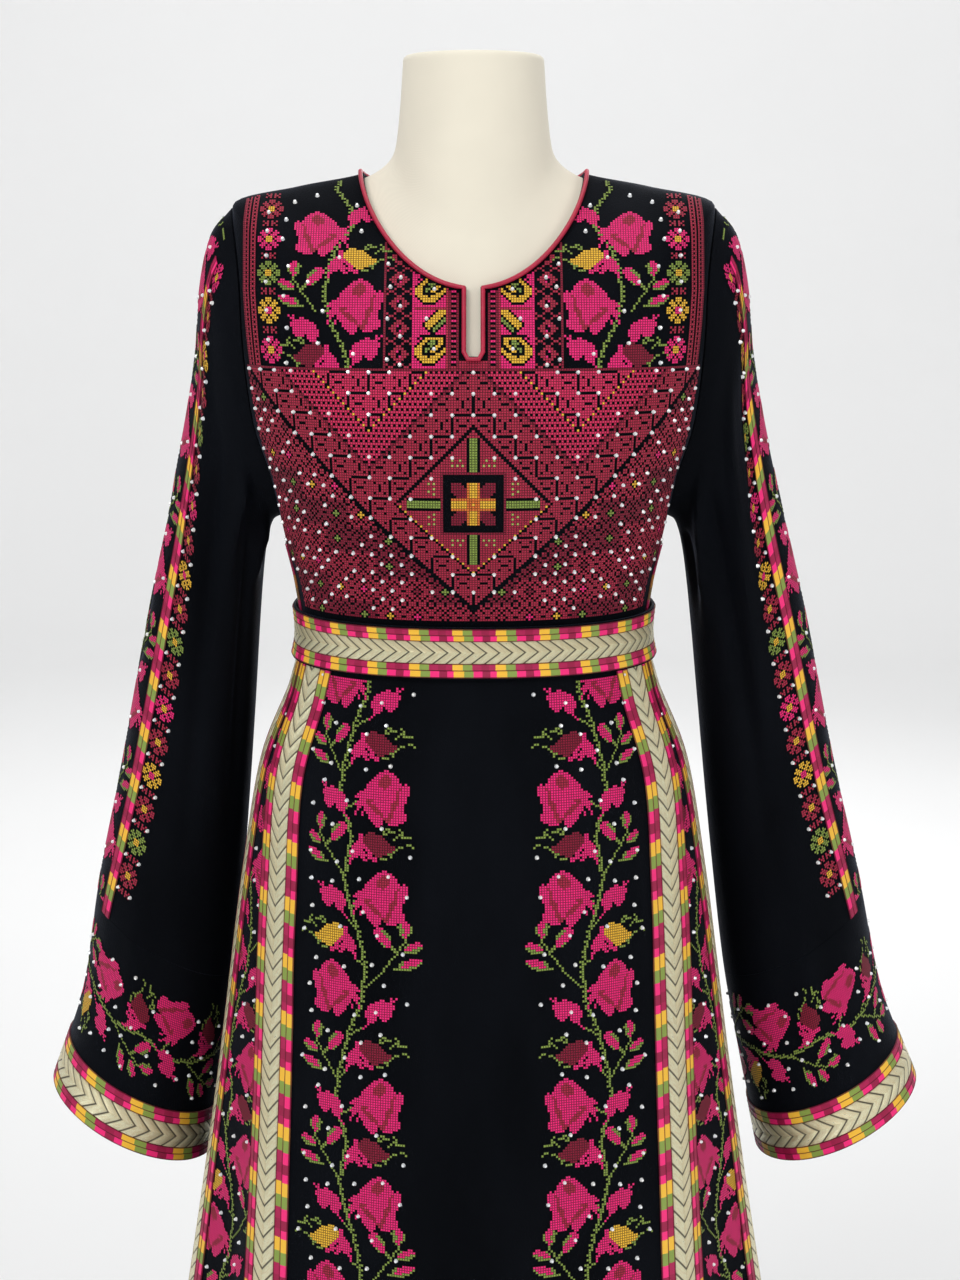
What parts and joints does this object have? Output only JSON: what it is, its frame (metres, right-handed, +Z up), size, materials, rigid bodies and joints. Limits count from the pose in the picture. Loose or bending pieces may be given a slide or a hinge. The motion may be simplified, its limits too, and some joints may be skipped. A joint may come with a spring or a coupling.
{
  "type": "palestinian thobe dress on a dress form",
  "caption": "Floor-length black velvet thobe with cross-stitched chest panel, bell sleeves, banded seams and a belt, on a limbless dress form with a round stand.",
  "frame": {"origin": "middle of the underside of the stand's round base, on the floor", "axes": "+Z up, the front of the dress faces -Y, +X is on the viewer's right when facing the front"},
  "size_m": [0.7503, 0.5329, 1.516],
  "materials": {
    "velvet": "black silk velvet with a soft sheen, cross-stitched in places",
    "gold": "metallic gold thread ribbon in a chevron weave",
    "braid": "satin braid striped pink, crimson, yellow and green",
    "binding": "crimson satin",
    "form_cloth": "plain cream linen, matt",
    "steel": "satin"
  },
  "bodies": {
    "root": {"belt": "velvet", "belt_braid_lower": "braid", "belt_braid_upper": "braid", "belt_gold": "gold", "bodice_back": "velvet", "bodice_band_left_braid_back": "braid", "bodice_band_left_braid_front": "braid", "bodice_band_left_gold": "gold", "bodice_band_right_braid_back": "braid", "bodice_band_right_braid_front": "braid", "bodice_band_right_gold": "gold", "bodice_front": "velvet", "bodice_side_left": "velvet", "bodice_side_right": "velvet", "cuff_left": "velvet", "cuff_left_braid_hem": "braid", "cuff_left_braid_upper": "braid", "cuff_left_gold": "gold", "cuff_right": "velvet", "cuff_right_braid_hem": "braid", "cuff_right_braid_upper": "braid", "cuff_right_gold": "gold", "form_base": "steel", "form_pole": "steel", "form_torso": "form_cloth", "neck_binding": "binding", "skirt_back": "velvet", "skirt_front": "velvet", "skirt_front_band_left_braid_back": "braid", "skirt_front_band_left_braid_front": "braid", "skirt_front_band_left_gold": "gold", "skirt_front_band_right_braid_back": "braid", "skirt_front_band_right_braid_front": "braid", "skirt_front_band_right_gold": "gold", "skirt_side_band_left_braid_back": "braid", "skirt_side_band_left_braid_front": "braid", "skirt_side_band_left_gold": "gold", "skirt_side_band_right_braid_back": "braid", "skirt_side_band_right_braid_front": "braid", "skirt_side_band_right_gold": "gold", "skirt_side_left": "velvet", "skirt_side_right": "velvet", "sleeve_braid_left_back": "braid", "sleeve_braid_left_front": "braid", "sleeve_braid_right_back": "braid", "sleeve_braid_right_front": "braid", "sleeve_left": "velvet", "sleeve_right": "velvet"}
  },
  "joints": []
}
